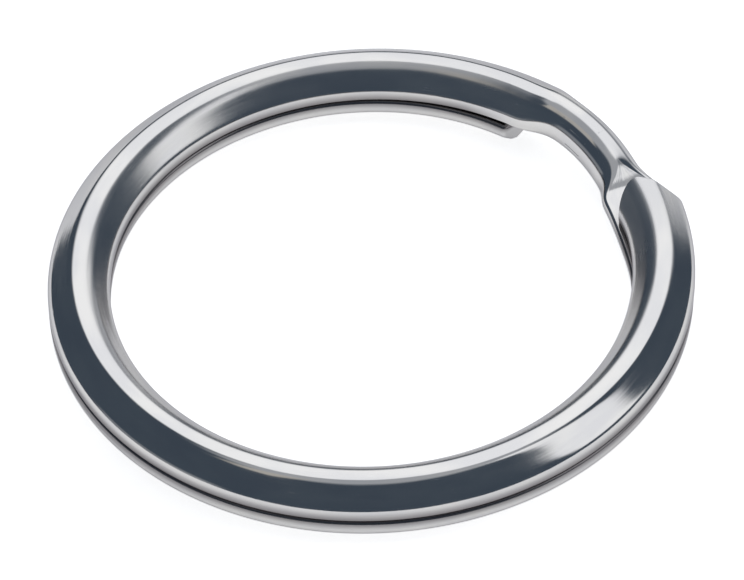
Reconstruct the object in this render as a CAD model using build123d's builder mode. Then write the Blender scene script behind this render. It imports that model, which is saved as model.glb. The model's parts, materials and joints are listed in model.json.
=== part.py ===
from build123d import *
from math import cos, pi, radians, sin
import os

# A split key ring: one steel wire wound about 1.9 turns, then pressed in a die so that the two
# coils lie flat on each other.  Lengths are millimetres and angles are degrees.  The ring's axis
# is Z and the coils meet at z = 0.  A place on the wire is given by theta, the angle about Z from
# +X.  Theta falls all the way along the wire, from the upper tip to the lower tip, and the
# crossover from the upper coil to the lower one is a turn after the upper tip.

# Whole ring
OUTER_DIAMETER = 25.0
COIL_HEIGHT = 1.33          # one pressed coil, flat face to crest
HALF_GAP = 0.02             # each coil's flat face stands this far from z = 0
TURN = 360.0

# Pressed section: a flat face, two upright sides, a flat crest, one slope outside it, and a
# gentle ledge and a steeper slope inside it.  Slopes are from level.
WIRE_WIDTH = 2.42
OUTER_SLOPE = 38.0
LEDGE_SLOPE = 30.0
INNER_SLOPE = 45.0
OUTER_SIDE_HEIGHT = 0.60    # upright sides, up to where they would meet the slope
INNER_SIDE_HEIGHT = 0.54
LEDGE_START = 0.29          # the crest ends this far inside the section's centre
OUTER_SHOULDER_RADIUS = 0.48
INNER_SHOULDER_RADIUS = 0.45
OUTER_CREST_RADIUS = 0.38
INNER_CREST_RADIUS = 0.45
LEDGE_RADIUS = 0.30
FLAT_EDGE_RADIUS = 0.15     # the flat face's edges are rounded, so the coils part in a groove

# Round section of the single strand that crosses between the coils
WIRE_RADIUS = 0.89
ROUND_CORNER_RADIUS = 0.97 * WIRE_RADIUS

# Places along the wire
UPPER_TIP = 20.6
LOWER_TIP = 56.0 - 2 * TURN
CROSSOVER_MIDDLE = 38.0 - TURN
CROSSOVER_REACH = 20.0      # the strand slopes for this far each side of the middle
UPPER_PRESSED = 19.0        # distances from the crossover's middle: pressed beyond here,
UPPER_ROUND = 9.0           # and round inside here
LOWER_PRESSED = 15.0
LOWER_ROUND = 8.0
STEP_FOOT = 13.4            # the flat face ends here, in a step up to the round strand
STEP_TOP = 7.8

# How the wire wanders from a true circle
CROSSOVER_BULGE = 0.20
CROSSOVER_BULGE_REACH = 17.0
DIP = 0.16                  # the lower coil starts a little inwards
DIP_MIDDLE = 26.0           # after the crossover's middle
DIP_REACH = 17.0
UPPER_TIP_SPREAD = 0.26     # the upper tip has sprung outwards
UPPER_TIP_REACH = 42.0
LOWER_TIP_TUCK = 0.15       # the lower tip has sprung inwards
LOWER_TIP_REACH = 45.0

# The upper tip's inner side bulges inwards, where cutting squashed it wider
TIP_WIDENING = 0.17
TIP_WIDENING_REACH = 25.0

# The upper tip's nose, seen from above: its point is near the inner side
NOSE_INSET = 0.33
NOSE_INNER_FLANK = 5.0      # how far round the ring each flank falls back
NOSE_OUTER_FLANK = 5.6
NOSE_BULGE_ACROSS = 0.6     # the inner flank bulges, through this share of the way across
NOSE_BULGE_BACK = 0.2       # and this share of the way back
NOSE_RADIUS = 0.25
TIP_CHAMFER = 0.12

LENGTHS_PER_COIL = 6
STATION_STEP = 6.0          # widest spacing of sections where the wire isn't a true circle
CROSSOVER_STEP = 1.1        # and where it also changes shape
CLEARANCE = 1.0             # how far a cutting solid passes beyond the wire

MEAN_RADIUS = (OUTER_DIAMETER - WIRE_WIDTH) / 2
LEVEL = HALF_GAP + COIL_HEIGHT / 2

# The section's sides, each by the way it faces and its distance from the section's centre
FACES = [0, 90 - OUTER_SLOPE, 90, 90 + LEDGE_SLOPE, 90 + INNER_SLOPE, 180, 270]
FLAT = 6


def side_through(facing, x, y):
    """Distance from the section's centre to a side that faces this way and passes a point."""
    return x * cos(radians(facing)) + y * sin(radians(facing))


HALF_WIDTH = WIRE_WIDTH / 2
HALF_HEIGHT = COIL_HEIGHT / 2
PRESSED_DISTANCES = [
    HALF_WIDTH,
    side_through(FACES[1], HALF_WIDTH, OUTER_SIDE_HEIGHT - HALF_HEIGHT),
    HALF_HEIGHT,
    side_through(FACES[3], -LEDGE_START, HALF_HEIGHT),
    side_through(FACES[4], -HALF_WIDTH, INNER_SIDE_HEIGHT - HALF_HEIGHT),
    HALF_WIDTH,
    HALF_HEIGHT,
]
PRESSED_CORNERS = [
    OUTER_SHOULDER_RADIUS,
    OUTER_CREST_RADIUS,
    INNER_CREST_RADIUS,
    LEDGE_RADIUS,
    INNER_SHOULDER_RADIUS,
    FLAT_EDGE_RADIUS,
    FLAT_EDGE_RADIUS,
]


def ease(share):
    """Smooth step from 0 to 1."""
    share = min(max(share, 0.0), 1.0)
    return share * share * (3 - 2 * share)


def bump(distance, reach):
    """1 in the middle, falling smoothly to 0 at the reach."""
    return 0.5 + 0.5 * cos(pi * distance / reach) if abs(distance) < reach else 0.0


def wander(theta):
    """How far the wire's centre lies outside the mean circle."""
    after = CROSSOVER_MIDDLE - theta
    out = CROSSOVER_BULGE * bump(after, CROSSOVER_BULGE_REACH)
    out -= DIP * bump(after - DIP_MIDDLE, DIP_REACH)
    out += UPPER_TIP_SPREAD * max(0.0, 1 - (UPPER_TIP - theta) / UPPER_TIP_REACH) ** 2
    out -= LOWER_TIP_TUCK * max(0.0, 1 - (theta - LOWER_TIP) / LOWER_TIP_REACH) ** 2
    return out


def height(theta):
    """Height of the wire's centre: one level in each coil, with an S-shaped ramp between."""
    share = (theta - CROSSOVER_MIDDLE + CROSSOVER_REACH) / (2 * CROSSOVER_REACH)
    return LEVEL * (2 * ease(share) - 1)


def centre(theta):
    """The wire's centre."""
    radius = MEAN_RADIUS + wander(theta)
    return Vector(radius * cos(radians(theta)), radius * sin(radians(theta)), height(theta))


def cut_plane(theta):
    """Plane square to the wire, with its x pointing away from the ring's axis and its y up."""
    small_step = 0.05
    along = (centre(theta + small_step) - centre(theta - small_step)).normalized()
    outward = Vector(cos(radians(theta)), sin(radians(theta)), 0)
    outward = outward - along * outward.dot(along)
    return Plane(origin=centre(theta), x_dir=outward, z_dir=-along)


def section_sides(theta):
    """Distances of the sides and radii of the corners after them, with the flat face below."""
    upper = theta > CROSSOVER_MIDDLE
    away = abs(theta - CROSSOVER_MIDDLE)
    pressed, rounded = (UPPER_PRESSED, UPPER_ROUND) if upper else (LOWER_PRESSED, LOWER_ROUND)
    roundness = [ease((pressed - away) / (pressed - rounded))] * len(FACES)
    up_step = min(max((STEP_FOOT - away) / (STEP_FOOT - STEP_TOP), 0.0), 1.0)
    roundness[FLAT] = (up_step + ease(up_step)) / 2
    widening = TIP_WIDENING * max(0.0, 1 - (UPPER_TIP - theta) / TIP_WIDENING_REACH) ** 2
    drop = LEVEL - abs(height(theta))
    distances = []
    corners = []
    for side, facing in enumerate(FACES):
        in_die = PRESSED_DISTANCES[side] + drop * sin(radians(facing))
        in_die += widening * max(0.0, -cos(radians(facing)))
        distances.append(in_die + (WIRE_RADIUS - in_die) * roundness[side])
        corner_roundness = min(roundness[side], roundness[(side + 1) % len(FACES)])
        radius = PRESSED_CORNERS[side]
        corners.append(radius + (ROUND_CORNER_RADIUS - radius) * corner_roundness)
    return distances, corners


def corner_arc(side, distances, corners):
    """Start, middle and end of the rounding between one side and the next."""
    next_side = (side + 1) % len(FACES)
    first = radians(FACES[side])
    second = radians(FACES[next_side])
    turn = (second - first) % (2 * pi)
    radius = corners[side]
    a = distances[side] - radius
    b = distances[next_side] - radius
    x = (a * sin(second) - b * sin(first)) / sin(turn)
    y = (b * cos(first) - a * cos(second)) / sin(turn)
    return [
        (x + radius * cos(facing), y + radius * sin(facing))
        for facing in (first, first + turn / 2, first + turn)
    ]


def wire_section(theta, flat_below):
    """The wire's section, filled, standing where it cuts the wire."""
    distances, corners = section_sides(theta)
    up = 1 if flat_below else -1
    arcs = []
    for side in range(len(FACES)):
        arcs.append([(x, up * y) for x, y in corner_arc(side, distances, corners)])
    with BuildSketch(cut_plane(theta)) as section:
        with BuildLine():
            for side, arc in enumerate(arcs):
                ThreePointArc(*arc)
                Line(arc[-1], arcs[(side + 1) % len(arcs)][0])
        make_face()
    return section.sketch


def is_true_circle(top, bottom):
    """Whether the wire keeps to the mean circle, level, all the way between two places."""
    samples = [top + (bottom - top) * i / 50 for i in range(51)]
    return all(wander(theta) == 0 and abs(height(theta)) == LEVEL for theta in samples)


def wind_wire(top, bottom, flat_below):
    """Add the length of wire between two places to the current part."""
    if is_true_circle(top, bottom):
        revolve(wire_section(bottom, flat_below), axis=Axis.Z, revolution_arc=top - bottom)
        return
    spacing = CROSSOVER_STEP if abs(height((top + bottom) / 2)) < LEVEL else STATION_STEP
    steps = int((top - bottom) / spacing) + 1
    stations = [top + (bottom - top) * i / steps for i in range(steps + 1)]
    loft([wire_section(theta, flat_below) for theta in stations])


def ring_point(radius, theta):
    """Point seen from above."""
    return radius * cos(radians(theta)), radius * sin(radians(theta))


def cut_nose():
    """Trim the upper tip, in the current part, to its blunt pointed nose."""
    at_nose = MEAN_RADIUS + wander(UPPER_TIP)
    inner = at_nose - HALF_WIDTH - TIP_WIDENING
    outer = at_nose + HALF_WIDTH
    beyond = UPPER_TIP + NOSE_OUTER_FLANK
    point = ring_point(at_nose - NOSE_INSET, UPPER_TIP)
    foot = ring_point(inner, UPPER_TIP - NOSE_INNER_FLANK)
    bulge_radius = at_nose - NOSE_INSET - NOSE_BULGE_ACROSS * (HALF_WIDTH - NOSE_INSET)
    bulge = ring_point(bulge_radius, UPPER_TIP - NOSE_BULGE_BACK * NOSE_INNER_FLANK)
    with BuildSketch(Plane.XY.offset(-CLEARANCE)) as outside_nose:
        with BuildLine():
            ThreePointArc(foot, bulge, point)
            Polyline(
                point,
                ring_point(outer, UPPER_TIP - NOSE_OUTER_FLANK),
                ring_point(outer + CLEARANCE, UPPER_TIP - 2 * NOSE_OUTER_FLANK),
                ring_point(outer + CLEARANCE, beyond),
                ring_point(inner - CLEARANCE, beyond),
                ring_point(inner - CLEARANCE, UPPER_TIP - 2 * NOSE_INNER_FLANK),
                foot,
            )
        make_face()
        fillet(outside_nose.vertices().sort_by_distance((*point, -CLEARANCE))[0], NOSE_RADIUS)
    extrude(outside_nose.sketch, amount=COIL_HEIGHT + 2 * CLEARANCE, mode=Mode.SUBTRACT)


def write(part, name):
    """Name a finished length of wire and write its file."""
    part.label = name
    export_step(part, f"parts/{name}.step")


os.makedirs("parts", exist_ok=True)

crossover_start = CROSSOVER_MIDDLE + CROSSOVER_REACH
crossover_end = CROSSOVER_MIDDLE - CROSSOVER_REACH
upper_step = (UPPER_TIP - crossover_start) / LENGTHS_PER_COIL
lower_step = (crossover_end - LOWER_TIP) / LENGTHS_PER_COIL

# Upper coil: its free tip, then the lengths that lead round to the crossover
with BuildPart() as upper_tip:
    wind_wire(UPPER_TIP, UPPER_TIP - upper_step, flat_below=True)
    cut_nose()
write(upper_tip.part, "upper_tip")

for number in range(1, LENGTHS_PER_COIL):
    with BuildPart() as upper_coil:
        length_top = UPPER_TIP - number * upper_step
        wind_wire(length_top, length_top - upper_step, flat_below=True)
    write(upper_coil.part, f"upper_coil_{number:02d}")

# Crossover: the single strand, pressed where it leaves each coil and round in the middle
with BuildPart() as crossover_upper:
    wind_wire(crossover_start, CROSSOVER_MIDDLE + STEP_FOOT, flat_below=True)
    wind_wire(CROSSOVER_MIDDLE + STEP_FOOT, CROSSOVER_MIDDLE, flat_below=True)
write(crossover_upper.part, "crossover_upper")

with BuildPart() as crossover_lower:
    wind_wire(CROSSOVER_MIDDLE, CROSSOVER_MIDDLE - STEP_FOOT, flat_below=False)
    wind_wire(CROSSOVER_MIDDLE - STEP_FOOT, crossover_end, flat_below=False)
write(crossover_lower.part, "crossover_lower")

# Lower coil: from the crossover round to its free tip
for number in range(1, LENGTHS_PER_COIL):
    with BuildPart() as lower_coil:
        length_top = crossover_end - (number - 1) * lower_step
        wind_wire(length_top, length_top - lower_step, flat_below=False)
    write(lower_coil.part, f"lower_coil_{number:02d}")

with BuildPart() as lower_tip:
    wind_wire(LOWER_TIP + lower_step, LOWER_TIP, flat_below=False)
    end_face = lower_tip.faces().sort_by_distance(centre(LOWER_TIP))[0]
    chamfer(end_face.edges(), TIP_CHAMFER)
write(lower_tip.part, "lower_tip")
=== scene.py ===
import json
import math
import bpy
import numpy as np
from mathutils import Matrix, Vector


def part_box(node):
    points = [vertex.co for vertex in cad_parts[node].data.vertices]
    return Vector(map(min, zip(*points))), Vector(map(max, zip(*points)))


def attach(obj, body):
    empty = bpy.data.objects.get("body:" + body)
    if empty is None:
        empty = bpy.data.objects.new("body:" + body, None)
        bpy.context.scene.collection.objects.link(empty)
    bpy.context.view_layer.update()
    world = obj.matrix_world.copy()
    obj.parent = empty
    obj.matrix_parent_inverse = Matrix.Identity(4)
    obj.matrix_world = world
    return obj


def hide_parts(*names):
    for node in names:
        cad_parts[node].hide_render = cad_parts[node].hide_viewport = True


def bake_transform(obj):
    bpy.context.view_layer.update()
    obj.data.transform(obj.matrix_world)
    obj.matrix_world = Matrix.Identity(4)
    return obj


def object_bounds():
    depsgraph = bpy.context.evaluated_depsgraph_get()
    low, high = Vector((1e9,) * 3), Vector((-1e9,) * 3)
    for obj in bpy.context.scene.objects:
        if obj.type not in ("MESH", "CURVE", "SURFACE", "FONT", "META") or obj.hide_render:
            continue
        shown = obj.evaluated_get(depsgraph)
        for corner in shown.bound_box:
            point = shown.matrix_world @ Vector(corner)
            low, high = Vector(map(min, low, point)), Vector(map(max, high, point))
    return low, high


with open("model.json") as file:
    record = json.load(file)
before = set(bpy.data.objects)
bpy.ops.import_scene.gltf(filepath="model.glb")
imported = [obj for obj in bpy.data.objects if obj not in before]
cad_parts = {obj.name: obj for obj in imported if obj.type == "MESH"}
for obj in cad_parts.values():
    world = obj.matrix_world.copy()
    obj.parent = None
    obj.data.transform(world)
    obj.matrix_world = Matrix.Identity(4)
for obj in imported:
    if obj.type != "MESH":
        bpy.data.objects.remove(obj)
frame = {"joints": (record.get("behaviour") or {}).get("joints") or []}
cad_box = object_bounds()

# A split key ring of bright nickel-plated wire: two flat-pressed coils of one wire, joined by a
# short round strand that crosses from the upper coil to the lower one.  Lengths are metres and
# angles are degrees.  A place on the wire is given by theta, the angle about Z from +X, which
# falls all the way along the wire, from the upper tip to the lower one.  A coil is 1 for the
# upper one and -1 for the lower one, which lies upside down.
MM = 0.001
TURN = 360.0

# ---------------------------------------------------------------- sizes of the ring
hinges = {joint["name"]: joint for joint in frame["joints"]}
coil_hinge = hinges["upper_twist_3"]
MEAN_RADIUS = math.hypot(*coil_hinge["pos_m"][:2])
LEVEL = coil_hinge["pos_m"][2]
OUTER_RADIUS = -cad_box[0].x
FLAT_HEIGHT, CREST_TOP = (corner.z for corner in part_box("upper_coil_03"))
COIL_HEIGHT = CREST_TOP - FLAT_HEIGHT
HALF_WIDTH = OUTER_RADIUS - MEAN_RADIUS

# Pressed section: its sides go from the outer one, round over the crest, to the flat face.
# Each is given by the way it faces, and each corner by the radius of the rounding after a side.
OUTER_SLOPE, LEDGE_SLOPE, INNER_SLOPE = 38.0, 30.0, 45.0
OUTER_SIDE_HEIGHT, INNER_SIDE_HEIGHT = 0.60 * MM, 0.54 * MM
LEDGE_START = 0.29 * MM
FACES = np.radians([0, 90 - OUTER_SLOPE, 90, 90 + LEDGE_SLOPE, 90 + INNER_SLOPE, 180, 270])
TOP_SIDES = slice(1, 5)
FLAT = 6
PRESSED_CORNERS = np.array([0.48, 0.38, 0.45, 0.30, 0.45, 0.15, 0.15]) * MM
WIRE_RADIUS = 0.89 * MM

# A fine line that the die leaves along the ledge, beside the crest
DIE_LINE_DEPTH = 0.006 * MM
DIE_LINE_START, DIE_LINE_WIDTH = 0.33 * MM, 0.06 * MM
DIE_LINE_FADE_START, DIE_LINE_FADE_WIDTH = 0.42 * MM, 0.16 * MM
DIE_LINE_FACING = 0.3       # it is cut only where the surface faces upwards by more than this

# Tumbling has softened the section's edges over about this distance
TUMBLED_SPREAD = 0.10 * MM

# Places along the wire
UPPER_TIP = 20.6
LOWER_TIP = 56.0 - 2 * TURN
CROSSOVER_MIDDLE = 38.0 - TURN
CROSSOVER_REACH = 20.0      # the strand slopes for this far each side of the middle

# How the section changes near the crossover, by distance from its middle: pressed beyond one
# place and round inside the other.  The upper coil's top changes over a shorter stretch, and the
# flat face ends at the foot of a step up to the round strand.
UPPER_PRESSED, UPPER_ROUND = 16.5, 7.0
UPPER_TOP_PRESSED, UPPER_TOP_ROUND = 15.0, 9.5
LOWER_PRESSED, LOWER_ROUND = 15.0, 8.0
STEP_FOOT, STEP_TOP = 14.3, 6.9
LENGTHS_PER_COIL = 6

# How the wire wanders from a true circle
CROSSOVER_BULGE, CROSSOVER_BULGE_REACH = 0.20 * MM, 17.0
DIP, DIP_MIDDLE, DIP_REACH = 0.16 * MM, 26.0, 17.0
UPPER_TIP_SPREAD, UPPER_TIP_REACH = 0.26 * MM, 42.0
LOWER_TIP_TUCK, LOWER_TIP_REACH = 0.15 * MM, 45.0

# The upper tip's inner side bulges inwards, where cutting squashed it wider
TIP_WIDENING, TIP_WIDENING_REACH = 0.17 * MM, 25.0

# The free ends: the upper one's nose has its point near the inner side, and both are worn round
NOSE_INSET = 0.33 * MM
NOSE_INNER_FLANK, NOSE_OUTER_FLANK = 5.0, 5.6
NOSE_ROUNDING = 0.10 * MM
UPPER_END_EDGE, LOWER_END_EDGE = 0.10 * MM, 0.17 * MM
TIP_REACH = 12.0            # the end's shape is worked into this much of the wire

# Sections are blended over a degree or so along the wire near the crossover
BLENDED_REACH = 24.0
BLEND_SPREAD = 1.1
BLEND_OFFSETS = np.linspace(-2.2, 2.2, 12)
BLEND_WEIGHTS = np.exp(-0.5 * (BLEND_OFFSETS / BLEND_SPREAD) ** 2)
BLEND_WEIGHTS /= BLEND_WEIGHTS.sum()

# Fineness of the meshes, and steps for measuring slopes
ARC_POINTS = 12
LINE_POINTS = 10
COIL_RING_STEP = 0.75
CROSSOVER_RING_STEP = 0.25
TIP_RINGS = 16
EDGE_RINGS = 6
END_SHRINKS = (0.75, 0.5, 0.25, 0.02)
AXIS_STEP = 0.05
SURFACE_STEP = 0.02
TINY_STEP = 0.002 * MM


# ---------------------------------------------------------------- shape of the wire
def side_through(facing, x, y):
    """Distance from the section's centre to a side that faces this way and passes a point."""
    return x * math.cos(facing) + y * math.sin(facing)


PRESSED_DISTANCES = np.array([
    HALF_WIDTH,
    side_through(FACES[1], HALF_WIDTH, OUTER_SIDE_HEIGHT - COIL_HEIGHT / 2),
    COIL_HEIGHT / 2,
    side_through(FACES[3], -LEDGE_START, COIL_HEIGHT / 2),
    side_through(FACES[4], -HALF_WIDTH, INNER_SIDE_HEIGHT - COIL_HEIGHT / 2),
    HALF_WIDTH,
    COIL_HEIGHT / 2,
])


def ease(share):
    """Smooth step from 0 to 1."""
    share = np.clip(share, 0.0, 1.0)
    return share * share * (3 - 2 * share)


def bump(distance, reach):
    """1 in the middle, falling smoothly to 0 at the reach."""
    return 0.5 + 0.5 * math.cos(math.pi * distance / reach) if abs(distance) < reach else 0.0


def unit(vectors):
    """Vectors, one to a row, made 1 long."""
    return vectors / np.linalg.norm(vectors, axis=-1, keepdims=True)


def wander(theta):
    """How far the wire's centre lies outside the mean circle."""
    after = CROSSOVER_MIDDLE - theta
    out = CROSSOVER_BULGE * bump(after, CROSSOVER_BULGE_REACH)
    out -= DIP * bump(after - DIP_MIDDLE, DIP_REACH)
    out += UPPER_TIP_SPREAD * max(0.0, 1 - (UPPER_TIP - theta) / UPPER_TIP_REACH) ** 2
    out -= LOWER_TIP_TUCK * max(0.0, 1 - (theta - LOWER_TIP) / LOWER_TIP_REACH) ** 2
    return out


def centre(theta):
    """The wire's centre: one level in each coil, with an S-shaped ramp between."""
    radius = MEAN_RADIUS + wander(theta)
    angle = math.radians(theta)
    share = (theta - CROSSOVER_MIDDLE + CROSSOVER_REACH) / (2 * CROSSOVER_REACH)
    height = LEVEL * (2 * ease(share) - 1)
    return np.array([radius * math.cos(angle), radius * math.sin(angle), height])


def wire_axes(theta):
    """Outward, upward and along directions at a place; along is the way theta grows."""
    along = unit(centre(theta + AXIS_STEP) - centre(theta - AXIS_STEP))
    outward = np.array([math.cos(math.radians(theta)), math.sin(math.radians(theta)), 0.0])
    outward = unit(outward - along * outward.dot(along))
    return outward, np.cross(outward, along), along


def section_sides(theta, coil):
    """Distances of the sides, radii of the corners after them, and how round the wire is."""
    away = abs(theta - CROSSOVER_MIDDLE)
    pressed, rounded = (UPPER_PRESSED, UPPER_ROUND) if coil > 0 else (LOWER_PRESSED, LOWER_ROUND)
    rounding = ease((pressed - away) / (pressed - rounded))
    roundness = np.full(len(FACES), rounding)
    if coil > 0:
        top_change = UPPER_TOP_PRESSED - UPPER_TOP_ROUND
        roundness[TOP_SIDES] = ease((UPPER_TOP_PRESSED - away) / top_change)
    roundness[FLAT] = ease((STEP_FOOT - away) / (STEP_FOOT - STEP_TOP))
    drop = LEVEL - abs(centre(theta)[2])
    widening = TIP_WIDENING * max(0.0, 1 - (UPPER_TIP - theta) / TIP_WIDENING_REACH) ** 2
    in_die = PRESSED_DISTANCES + drop * np.sin(FACES) + widening * np.maximum(0, -np.cos(FACES))
    distances = in_die + (WIRE_RADIUS - in_die) * roundness
    corner_roundness = np.minimum(roundness, np.roll(roundness, -1))
    corners = PRESSED_CORNERS + (WIRE_RADIUS - PRESSED_CORNERS) * corner_roundness
    return distances, corners, rounding


def die_line(x):
    """Depth of the die's line at x across the top of the section."""
    down = ease((-x - DIE_LINE_START) / DIE_LINE_WIDTH)
    back = ease((-x - DIE_LINE_FADE_START) / DIE_LINE_FADE_WIDTH)
    return DIE_LINE_DEPTH * down * (1 - back)


def tumbled(points, ways):
    """The ways the surface faces, softened round the section as tumbling softens its edges.
    Beside the joint between the coils, where nothing rubs, they stay as they are."""
    steps = np.linalg.norm(np.roll(points, -1, 0) - points, axis=1)
    around = np.cumsum(steps) - steps
    apart = np.abs(around[:, None] - around)
    apart = np.minimum(apart, steps.sum() - apart)
    weights = np.exp(-0.5 * (apart / TUMBLED_SPREAD) ** 2) * (steps + np.roll(steps, 1))
    soft = weights @ ways / weights.sum(1)[:, None]
    clear_of_joint = ease(points[:, 1:] / COIL_HEIGHT + 0.5)
    return unit(ways + (soft - ways) * clear_of_joint)


def outline_at(theta, coil):
    """Points round the section with the flat face below, and the ways the surface faces there."""
    distances, corners, rounding = section_sides(theta, coil)
    arcs, facings = [], []
    for side, radius in enumerate(corners):
        first, second = FACES[side], FACES[(side + 1) % len(FACES)]
        turn = (second - first) % (2 * math.pi)
        a = distances[side] - radius
        b = distances[(side + 1) % len(FACES)] - radius
        x = (a * math.sin(second) - b * math.sin(first)) / math.sin(turn)
        y = (b * math.cos(first) - a * math.cos(second)) / math.sin(turn)
        facing = first + np.linspace(0, turn, ARC_POINTS)
        facing = np.stack([np.cos(facing), np.sin(facing)], 1)
        arcs.append(np.array([x, y]) + radius * facing)
        facings.append(facing)
    points, ways = [], []
    shares = np.linspace(0, 1, LINE_POINTS + 1)[1:-1, None]
    for side, arc in enumerate(arcs):
        following = arcs[(side + 1) % len(arcs)][0]
        points += [arc, arc[-1] + (following - arc[-1]) * shares]
        ways += [facings[side], np.repeat(facings[side][-1:], LINE_POINTS - 1, 0)]
    points, ways = np.concatenate(points), np.concatenate(ways)
    on_top = ways[:, 1] > DIE_LINE_FACING
    x = points[on_top, 0]
    slope = (die_line(x + TINY_STEP) - die_line(x - TINY_STEP)) / (2 * TINY_STEP)
    points[on_top, 1] -= die_line(x) * (1 - rounding)
    ways[on_top, 0] += slope * (1 - rounding) * ways[on_top, 1]
    return points, tumbled(points, ways)


def section_outline(theta, coil):
    """The outline at a place.  Near the crossover, outlines are blended along the wire, so that
    its shapes flow together."""
    if abs(theta - CROSSOVER_MIDDLE) > BLENDED_REACH:
        return outline_at(theta, coil)
    points, ways = 0.0, 0.0
    for offset, weight in zip(BLEND_OFFSETS, BLEND_WEIGHTS):
        place = CROSSOVER_MIDDLE + coil * abs(theta + offset - CROSSOVER_MIDDLE)
        near_points, near_ways = outline_at(place, coil)
        points = points + weight * near_points
        ways = ways + weight * near_ways
    return points, unit(ways)


def surface_points(theta, coil):
    """The wire's surface points at a place."""
    outward, upward, _ = wire_axes(theta)
    points, _ = section_outline(theta, coil)
    return centre(theta) + np.outer(points[:, 0], outward) + np.outer(coil * points[:, 1], upward)


def ring_at(theta, coil):
    """The wire's surface points and normals at a place, and the ways its section faces."""
    outward, upward, _ = wire_axes(theta)
    _, ways = section_outline(theta, coil)
    along = surface_points(theta + SURFACE_STEP, coil) - surface_points(theta - SURFACE_STEP, coil)
    facing = np.outer(ways[:, 0], outward) + np.outer(coil * ways[:, 1], upward)
    round_ring = np.outer(-ways[:, 1], outward) + np.outer(coil * ways[:, 0], upward)
    normals = unit(np.cross(along, round_ring))
    normals *= np.sign(np.einsum("ij,ij->i", normals, facing))[:, None]
    return surface_points(theta, coil), normals, ways


# ---------------------------------------------------------------- the free ends
def nose_fall(x):
    """How many degrees the upper end lies behind its point, at x across the wire."""
    away = x + NOSE_INSET
    if away > 0:
        smooth = math.hypot(away, NOSE_ROUNDING) - NOSE_ROUNDING
        return NOSE_OUTER_FLANK * smooth / (HALF_WIDTH + NOSE_INSET)
    share = min(-away / (HALF_WIDTH + TIP_WIDENING - NOSE_INSET), 1.0)
    return NOSE_INNER_FLANK * (share ** 2 + share ** 4) / 2


def square_end(x):
    """The lower end doesn't lie behind its point anywhere."""
    return 0.0


def tip_rings(tip, coil, inwards, fall, edge):
    """Rings from where the end's shape starts, over its rounded edge, to the end's middle.
    inwards is the way from the tip into the wire, as the sign of theta."""
    edge_angle = math.degrees(edge / MEAN_RADIUS)
    edge_start = tip + inwards * edge_angle
    rings, normals, known = [], [], {}

    def known_ring(place):
        place = round(place, 3)
        if place not in known:
            known[place] = ring_at(place, coil)
        return known[place]

    def end_normal(x, place):
        outward, _, along = wire_axes(place)
        rise = math.radians(fall(x + TINY_STEP) - fall(x - TINY_STEP)) * MEAN_RADIUS
        return unit(rise / (2 * TINY_STEP) * outward - inwards * along)

    def add_ring(nominal, share, turned, inset, ahead, shrink=1.0):
        """share is how much of the end's shape the ring has, and turned is how far its normals
        have turned from the wire's side to its end.  inset is how far it has drawn in, ahead is
        how many degrees it lies inwards, and shrink is its size on the end itself."""
        points, _ = section_outline(nominal, coil)
        ring, ring_normals = [], []
        for index, (x, y) in enumerate(points * shrink):
            place = nominal + inwards * (share * fall(x) + ahead)
            outward, upward, _ = wire_axes(place)
            _, surface, ways = known_ring(place)
            x, y = x - inset * ways[index][0], y - inset * ways[index][1]
            ring.append(centre(place) + x * outward + coil * y * upward)
            normal = math.cos(turned) * surface[index] + math.sin(turned) * end_normal(x, place)
            ring_normals.append(normal)
        rings.append(np.array(ring))
        normals.append(np.array(ring_normals))

    for share in np.linspace(0, 1, TIP_RINGS + 1)[1:]:
        add_ring(edge_start + inwards * TIP_REACH * (1 - share), share, 0.0, 0.0, 0.0)
    for turned in np.radians(np.linspace(0, 90, EDGE_RINGS + 1)[1:]):
        inset = edge * (1 - math.cos(turned))
        add_ring(edge_start, 1.0, turned, inset, -edge_angle * math.sin(turned))
    for shrink in END_SHRINKS:
        add_ring(edge_start, 1.0, math.pi / 2, edge * shrink, -edge_angle, shrink)
    return rings, normals


# ---------------------------------------------------------------- pieces of wire
def closed_mesh(name, rings):
    """A mesh through the rings, closed at both ends."""
    size = len(rings[0])
    faces = []
    for a in range(0, (len(rings) - 1) * size, size):
        for j in range(size):
            k = (j + 1) % size
            faces.append((a + j, a + size + j, a + size + k, a + k))
    faces.append(tuple(range(size)))
    faces.append(tuple(reversed(range((len(rings) - 1) * size, len(rings) * size))))
    mesh = bpy.data.meshes.new(name)
    mesh.from_pydata(np.concatenate(rings).tolist(), [], faces)
    if sum(face.center.dot(face.normal) * face.area for face in mesh.polygons) < 0:
        mesh.flip_normals()
    return mesh


def add_wire_place(mesh, rings, middle, coil):
    """Stores each point's distance along the wire, distance round it, and height off its flat."""
    points = np.concatenate(rings)
    angles = np.degrees(np.arctan2(points[:, 1], points[:, 0]))
    angles += TURN * np.round((middle - angles) / TURN)
    outline, _ = section_outline(middle, coil)
    steps = np.linalg.norm(np.roll(outline, -1, 0) - outline, axis=1)
    around = np.concatenate([[0], np.cumsum(steps)[:-1]])
    place = np.zeros((len(points), 3), np.float32)
    place[:, 0] = np.radians(angles) * MEAN_RADIUS
    place[:, 1] = np.tile(around, len(rings))
    place[:, 2] = np.tile(outline[:, 1] + COIL_HEIGHT / 2, len(rings))
    attribute = mesh.attributes.new("wire_place", "FLOAT_VECTOR", "POINT")
    attribute.data.foreach_set("vector", place.ravel())


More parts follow.
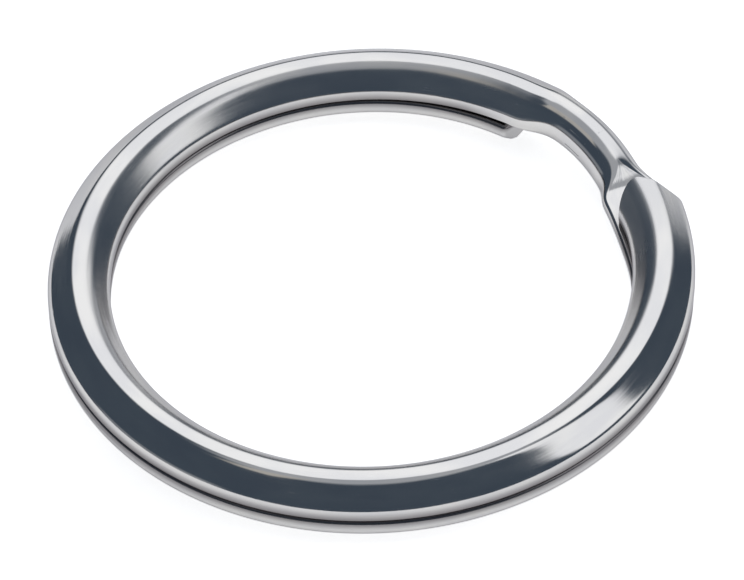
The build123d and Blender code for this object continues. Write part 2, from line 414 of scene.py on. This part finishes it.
def wire_piece(name, coil, top, bottom, ring_step):
    """A closed length of the wire from top to bottom, either of which may be its free tip."""
    start, finish = top, bottom
    if top == UPPER_TIP:
        start -= TIP_REACH + math.degrees(UPPER_END_EDGE / MEAN_RADIUS)
    if bottom == LOWER_TIP:
        finish += TIP_REACH + math.degrees(LOWER_END_EDGE / MEAN_RADIUS)
    count = max(2, round((start - finish) / ring_step))
    plain = [ring_at(theta, coil) for theta in np.linspace(start, finish, count + 1)]
    rings = [ring for ring, _, _ in plain]
    normals = [ring_normals for _, ring_normals, _ in plain]
    if top == UPPER_TIP:
        extra, extra_normals = tip_rings(UPPER_TIP, coil, -1, nose_fall, UPPER_END_EDGE)
        rings, normals = extra[::-1] + rings, extra_normals[::-1] + normals
    if bottom == LOWER_TIP:
        extra, extra_normals = tip_rings(LOWER_TIP, coil, 1, square_end, LOWER_END_EDGE)
        rings, normals = rings + extra, normals + extra_normals
    mesh = closed_mesh(name, rings)
    add_wire_place(mesh, rings, (top + bottom) / 2, coil)
    mesh.shade_smooth()
    mesh.normals_split_custom_set_from_vertices(np.concatenate(normals).tolist())
    piece = bpy.data.objects.new(name, mesh)
    bpy.context.collection.objects.link(piece)
    return piece


# ---------------------------------------------------------------- material
class Nodes:
    """Short ways to build a node tree."""

    def __init__(self, tree):
        self.tree = tree

    def add(self, kind, **settings):
        node = self.tree.nodes.new(kind)
        for name, value in settings.items():
            setattr(node, name, value)
        return node

    def put(self, socket, value):
        if isinstance(value, bpy.types.NodeSocket):
            self.tree.links.new(value, socket)
        else:
            socket.default_value = value

    def math(self, operation, *values):
        node = self.add("ShaderNodeMath", operation=operation)
        for socket, value in zip(node.inputs, values):
            self.put(socket, value)
        return node.outputs[0]

    def rise(self, value, low, high, to_low=0.0, to_high=1.0):
        """A smooth step from one value to another as the input goes from low to high."""
        node = self.add("ShaderNodeMapRange", interpolation_type="SMOOTHSTEP")
        for name, given in (("Value", value), ("From Min", low), ("From Max", high),
                            ("To Min", to_low), ("To Max", to_high)):
            self.put(node.inputs[name], given)
        return node.outputs["Result"]

    def stretched_noise(self, vector, scale, detail, roughness=0.5, turn=0.0):
        """Noise with this many waves to a metre along the wire and round it."""
        mapping = self.add("ShaderNodeMapping")
        mapping.inputs["Scale"].default_value = (*scale, 1)
        mapping.inputs["Rotation"].default_value = (0, 0, math.radians(turn))
        self.put(mapping.inputs["Vector"], vector)
        node = self.add("ShaderNodeTexNoise")
        self.put(node.inputs["Vector"], mapping.outputs["Vector"])
        for name, given in (("Scale", 1.0), ("Detail", detail), ("Roughness", roughness)):
            node.inputs[name].default_value = given
        return node.outputs["Fac"]

    def mix(self, share, first, second, **settings):
        node = self.add("ShaderNodeMix", data_type="RGBA", **settings)
        self.put(node.inputs["Factor"], share)
        colours = [socket for socket in node.inputs if socket.type == "RGBA"]
        self.put(colours[0], first)
        self.put(colours[1], second)
        return [socket for socket in node.outputs if socket.type == "RGBA"][0]

    def grey(self, value):
        node = self.add("ShaderNodeCombineColor")
        for socket in node.inputs:
            self.put(socket, value)
        return node.outputs[0]

    def bump(self, height, distance, strength, normal=None):
        node = self.add("ShaderNodeBump")
        self.put(node.inputs["Height"], height)
        node.inputs["Distance"].default_value = distance
        node.inputs["Strength"].default_value = strength
        if normal is not None:
            self.put(node.inputs["Normal"], normal)
        return node.outputs["Normal"]


def distance_round(corner):
    """How far round the pressed section a corner's rounding starts."""
    outline, _ = section_outline(CROSSOVER_MIDDLE + TURN / 2, 1)
    steps = np.linalg.norm(np.diff(outline, axis=0), axis=1)
    return float(steps[:corner * (ARC_POINTS + LINE_POINTS - 1)].sum())


# The inner side of a coil, from the crest's inner corner to the inner shoulder, as distances
# round the wire
INNER_SIDE_FROM, INNER_SIDE_TO = distance_round(2), distance_round(4)
INNER_SIDE_FADE = 0.2 * MM

# Painted shade near the joint, where the pressed-together coils shade each other: distances along
# the wire from the crossover's middle where it starts and is full, and how far it spreads up each
# coil's sides
ROUND_END = math.radians(9.0) * MEAN_RADIUS
JOINT_SHADE_START, JOINT_SHADE_FULL = math.radians(17.0) * MEAN_RADIUS, math.radians(30.0) * MEAN_RADIUS
JOINT_EDGE = 0.02 * MM
LOWER_JOINT_SHADE_OUTSIDE, LOWER_JOINT_SHADE_INSIDE, UPPER_JOINT_SHADE = 0.12 * MM, 0.42 * MM, 0.62 * MM
JOINT_SHADE_COVER = 0.88

# Marks in the plate: how many waves of noise each has to a metre, along the wire and round it,
# and how deep it is.  They fade out at the crossover's middle, where the wire was bent last.
DRAW_LINES, DRAW_LINE_DEPTH = (350, 26000), 0.0015 * MM
BROAD_LINES, BROAD_LINE_DEPTH = (120, 5200), 0.006 * MM
RIPPLES, RIPPLE_DEPTH = (420, 700), 0.04 * MM
SCRATCHES, SCRATCH_DEPTH = (900, 14000), 0.002 * MM
SCRATCH_TURN = 24           # they run this far off the wire's direction
SCRATCH_SHALLOW, SCRATCH_FULL = 0.71, 0.76
SMUDGES = (300, 900)
MARKS_RETURN = 1.2 * MM

# Scuffing by the upper tip, as distances along the wire
SCUFF_START, SCUFF_FULL = math.radians(-6.0) * MEAN_RADIUS, math.radians(14.0) * MEAN_RADIUS

# Colours of the plate and of the painted shade beside the joint between the coils
CLEAN_TINT, SMUDGED_TINT = (0.495, 0.49, 0.495, 1), (0.55, 0.54, 0.53, 1)
JOINT_SHADE_TINT = (0.13, 0.12, 0.125, 1)
GLANCING_TINT = (0.5, 0.5, 0.52, 1)

# Roughness of clean plate, and what each thing adds to it
CLEAN_ROUGHNESS = 0.085
SMUDGE_ROUGHNESS = 0.045
DRAW_LINE_ROUGHNESS = 0.04
JOINT_SHADE_ROUGHNESS = 0.15
INNER_SIDE_ROUGHNESS = 0.11
SCUFF_ROUGHNESS = 0.14


def nickel_plate():
    """Bright plate over drawn wire: long fine draw lines, soft ripples from the die, a few
    scratches, and painted shade near the joint between the coils, where the coils shade each
    other."""
    material = bpy.data.materials.new("nickel_wire")
    material.use_nodes = True
    n = Nodes(material.node_tree)
    shader = material.node_tree.nodes["Principled BSDF"]
    place = n.add("ShaderNodeAttribute", attribute_name="wire_place").outputs["Vector"]
    parts = n.add("ShaderNodeSeparateXYZ")
    n.put(parts.inputs[0], place)
    along, around, above_flat = parts.outputs
    from_crossover = n.math("SUBTRACT", along, math.radians(CROSSOVER_MIDDLE) * MEAN_RADIUS)
    off_crossover = n.math("ABSOLUTE", from_crossover)

    into_inner_side = (around, INNER_SIDE_FROM, INNER_SIDE_FROM + INNER_SIDE_FADE)
    out_of_inner_side = (around, INNER_SIDE_TO, INNER_SIDE_TO + INNER_SIDE_FADE)
    inner_side = n.math("MULTIPLY", n.rise(*into_inner_side), n.rise(*out_of_inner_side, 1.0, 0.0))
    inner_side = n.math("MULTIPLY", inner_side, n.rise(off_crossover, ROUND_END, JOINT_SHADE_START))
    scuffed = n.rise(along, SCUFF_START, SCUFF_FULL)

    draw_lines = n.stretched_noise(place, DRAW_LINES, 4.0, roughness=0.6)
    broad_lines = n.stretched_noise(place, BROAD_LINES, 2.0)
    ripples = n.stretched_noise(place, RIPPLES, 2.0)
    smudges = n.stretched_noise(place, SMUDGES, 3.0)
    scratches = n.stretched_noise(place, SCRATCHES, 2.0, turn=SCRATCH_TURN)
    scratches = n.rise(scratches, SCRATCH_SHALLOW, SCRATCH_FULL)
    marks_here = n.rise(off_crossover, 0.0, MARKS_RETURN)
    ripples, broad_lines, draw_lines, scratches, smudges = (
        n.math("MULTIPLY", marks, marks_here)
        for marks in (ripples, broad_lines, draw_lines, scratches, smudges))
    normal = n.bump(ripples, RIPPLE_DEPTH, 0.25)
    normal = n.bump(broad_lines, BROAD_LINE_DEPTH, 0.45, normal)
    normal = n.bump(draw_lines, DRAW_LINE_DEPTH, 0.35, normal)
    normal = n.bump(scratches, SCRATCH_DEPTH, 0.30, normal)
    n.put(shader.inputs["Normal"], normal)

    # Painted shade: on each coil's side next to the joint, away from the crossover, the base
    # colour darkens towards the flat face, where the coils shade each other.
    closed = n.rise(off_crossover, JOINT_SHADE_START, JOINT_SHADE_FULL)
    lower_joint_shade = n.rise(*into_inner_side, LOWER_JOINT_SHADE_OUTSIDE, LOWER_JOINT_SHADE_INSIDE)
    joint_shade_height = n.rise(from_crossover, -JOINT_SHADE_START, JOINT_SHADE_START, lower_joint_shade, UPPER_JOINT_SHADE)
    joint_shade = n.math("MULTIPLY", closed, n.rise(above_flat, JOINT_EDGE, joint_shade_height, 1.0, 0.0))
    tint = n.mix(n.rise(smudges, 0.35, 0.65), CLEAN_TINT, SMUDGED_TINT)
    # The painted shade is mixed over the plate's colour here.
    tint = n.mix(n.math("MULTIPLY", joint_shade, JOINT_SHADE_COVER), tint, JOINT_SHADE_TINT)
    n.put(shader.inputs["Base Color"], tint)

    rough = CLEAN_ROUGHNESS
    for amount, added in (
            (n.rise(smudges, 0.3, 0.7), SMUDGE_ROUGHNESS),
            (n.rise(draw_lines, 0.4, 0.7), DRAW_LINE_ROUGHNESS),
            (joint_shade, JOINT_SHADE_ROUGHNESS),
            (inner_side, INNER_SIDE_ROUGHNESS),
            (scuffed, SCUFF_ROUGHNESS)):
        rough = n.math("ADD", rough, n.math("MULTIPLY", amount, added))
    n.put(shader.inputs["Roughness"], rough)
    shader.inputs["Metallic"].default_value = 1.0
    shader.inputs["Specular Tint"].default_value = GLANCING_TINT
    return material


# ---------------------------------------------------------------- build the wire
plate = nickel_plate()
UPPER_LENGTH = (UPPER_TIP - CROSSOVER_MIDDLE - CROSSOVER_REACH) / LENGTHS_PER_COIL
LOWER_LENGTH = (CROSSOVER_MIDDLE - CROSSOVER_REACH - LOWER_TIP) / LENGTHS_PER_COIL
BENT_SHARE = 0.88           # share of a hinge piece's length that bend_piece reaches to either side of the hinge, for points it doesn't use


def finish_piece(piece, node):
    piece.data.materials.append(plate)
    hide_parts(node)


def bend_piece(piece, place, half, inwards):
    """The piece spans a hinge. Its transform is baked into its mesh; the points near and far,
    either side of the hinge, are worked out but not used.
    """
    near = centre(place - BENT_SHARE * half * inwards)
    far = centre(place + BENT_SHARE * half * inwards)
    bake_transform(piece)


def build_coil(side, coil, tip, inwards, length, nodes):
    """Pieces run from mid-length to mid-length.  Returns where the last one ends."""
    half = length / 2
    ends = sorted((tip, tip + inwards * half), reverse=True)
    end = wire_piece(f"{side}_end_wire", coil, *ends, COIL_RING_STEP)
    finish_piece(end, nodes[0])
    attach(end, f"{side}_end")
    for number in range(1, LENGTHS_PER_COIL):
        place = tip + inwards * number * length
        name = f"{side}_coil_wire_{number}"
        piece = wire_piece(name, coil, place + half, place - half, COIL_RING_STEP)
        finish_piece(piece, nodes[number])
        bend_piece(piece, place, half, inwards)
    return tip + inwards * (LENGTHS_PER_COIL - 0.5) * length


upper_nodes = ["upper_tip"] + [f"upper_coil_{n:02d}" for n in range(1, LENGTHS_PER_COIL)]
lower_nodes = ["lower_tip"] + [f"lower_coil_{n:02d}" for n in range(LENGTHS_PER_COIL - 1, 0, -1)]
crossover_from = build_coil("upper", 1, UPPER_TIP, -1, UPPER_LENGTH, upper_nodes)
crossover_to = build_coil("lower", -1, LOWER_TIP, 1, LOWER_LENGTH, lower_nodes)
for name, coil, top, bottom, node in (
        ("crossover_wire_upper", 1, crossover_from, CROSSOVER_MIDDLE, "crossover_upper"),
        ("crossover_wire_lower", -1, CROSSOVER_MIDDLE, crossover_to, "crossover_lower")):
    crossover = wire_piece(name, coil, top, bottom, CROSSOVER_RING_STEP)
    finish_piece(crossover, node)
    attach(crossover, "crossover")


# ---------------------------------------------------------------- stage
FLOOR_HALF = 3.0
FLOOR_COLOUR, FLOOR_ROUGHNESS, FLOOR_GLOW = (0.8, 0.8, 0.8, 1), 0.9, 0.72
LAMP_HEIGHT, LAMP_SIZE, LAMP_POWER = 1.2, 2.4, 5.0

# Light in the studio.  Each panel has a range of azimuth, which is 0 at +Y and grows towards +X,
# a range of elevation, the softness of its edges, and its radiance.
BACK_PANEL = (-24, 44), (18, 76), 7, 1.42
RIGHT_PANEL = (86, 115), (18, 70), 3, 1.35
LOW_LEFT_PANEL = (-130, -84), (2, 16), 4, 0.25
SILL_PANEL = (16, 41), (-4, 11), 4, 0.75
WARM_PATCH = (-134, -104), (58, 73), 3, 1.0
WARM_COLOUR = (0.62, 0.57, 0.49, 1)
OVERHEAD_FROM, OVERHEAD_FULL, OVERHEAD_RADIANCE = 62, 72, 0.50
ROOM_COLOUR = (0.078, 0.104, 0.139, 1)

# The camera looks at the ring from this many outer radii away
CAMERA_DISTANCE = 25
CAMERA_ASIDE, CAMERA_ABOVE = -0.0037, 0.0162
CAMERA_DOWN, CAMERA_ROLL = 45.92, -2.52
LENS, SENSOR_WIDTH = 390.7, 36.0


def build_floor():
    """A white light-table top, so the ring has only a faint shadow."""
    half, z = FLOOR_HALF, cad_box[0].z
    mesh = bpy.data.meshes.new("floor")
    corners = [(-half, -half, z), (half, -half, z), (half, half, z), (-half, half, z)]
    mesh.from_pydata(corners, [], [(0, 1, 2, 3)])
    floor = bpy.data.objects.new("floor", mesh)
    bpy.context.collection.objects.link(floor)
    material = bpy.data.materials.new("light_table")
    material.use_nodes = True
    shader = material.node_tree.nodes["Principled BSDF"]
    shader.inputs["Base Color"].default_value = FLOOR_COLOUR
    shader.inputs["Roughness"].default_value = FLOOR_ROUGHNESS
    shader.inputs["Specular IOR Level"].default_value = 0.0
    shader.inputs["Emission Color"].default_value = (1, 1, 1, 1)
    shader.inputs["Emission Strength"].default_value = FLOOR_GLOW
    mesh.materials.append(material)


def build_studio():
    """A dim room with light panels, all in the world's background."""
    world = bpy.data.worlds.new("studio")
    bpy.context.scene.world = world
    world.use_nodes = True
    world.node_tree.nodes.clear()
    n = Nodes(world.node_tree)
    split = n.add("ShaderNodeSeparateXYZ")
    n.put(split.inputs[0], n.add("ShaderNodeTexCoord").outputs["Generated"])
    x, y, z = split.outputs
    elevation = n.math("DEGREES", n.math("ARCSINE", z))
    azimuth = n.math("DEGREES", n.math("ARCTAN2", x, y))

    def window(value, low, high, soft):
        falling = n.rise(value, high - soft, high + soft, 1.0, 0.0)
        return n.math("MULTIPLY", n.rise(value, low - soft, low + soft), falling)

    def panel(across, up, soft, radiance):
        inside = n.math("MULTIPLY", window(azimuth, *across, soft), window(elevation, *up, soft))
        return n.math("MULTIPLY", inside, radiance)

    light = n.rise(elevation, OVERHEAD_FROM, OVERHEAD_FULL, 0.0, OVERHEAD_RADIANCE)
    for given in (BACK_PANEL, RIGHT_PANEL, LOW_LEFT_PANEL, SILL_PANEL):
        light = n.math("MAXIMUM", light, panel(*given))
    light = n.mix(panel(*WARM_PATCH), n.grey(light), WARM_COLOUR)
    background = n.add("ShaderNodeBackground")
    n.put(background.inputs["Color"], n.mix(1.0, ROOM_COLOUR, light, blend_type="ADD"))
    n.put(n.add("ShaderNodeOutputWorld").inputs["Surface"], background.outputs[0])


def build_overhead_light():
    """A wide soft lamp for the floor, which the metal doesn't mirror."""
    light = bpy.data.lights.new("overhead", "AREA")
    light.shape = "DISK"
    light.size = LAMP_SIZE
    light.energy = LAMP_POWER
    lamp = bpy.data.objects.new("overhead", light)
    lamp.location = (0, 0, LAMP_HEIGHT)
    lamp.visible_glossy = False
    lamp.visible_camera = False
    bpy.context.collection.objects.link(lamp)


def build_camera():
    looking_down, roll = math.radians(CAMERA_DOWN), math.radians(CAMERA_ROLL)
    forward = np.array([0, math.cos(looking_down), -math.sin(looking_down)])
    level = np.array([1.0, 0, 0])
    upright = np.cross(level, forward)
    right = math.cos(roll) * level + math.sin(roll) * upright
    upright = -math.sin(roll) * level + math.cos(roll) * upright
    offset = CAMERA_ASIDE * right + CAMERA_ABOVE * upright + CAMERA_DISTANCE * forward
    data = bpy.data.cameras.new("camera")
    data.sensor_width = SENSOR_WIDTH
    data.lens = LENS
    data.clip_start, data.clip_end = 0.01, 20.0
    camera = bpy.data.objects.new("camera", data)
    placing = np.eye(4)
    placing[:3] = np.stack([right, upright, -forward, -OUTER_RADIUS * offset], 1)
    camera.matrix_world = Matrix(placing.tolist())
    bpy.context.collection.objects.link(camera)
    bpy.context.scene.camera = camera


build_floor()
build_studio()
build_overhead_light()
build_camera()
bpy.context.scene.view_settings.view_transform = "Standard"
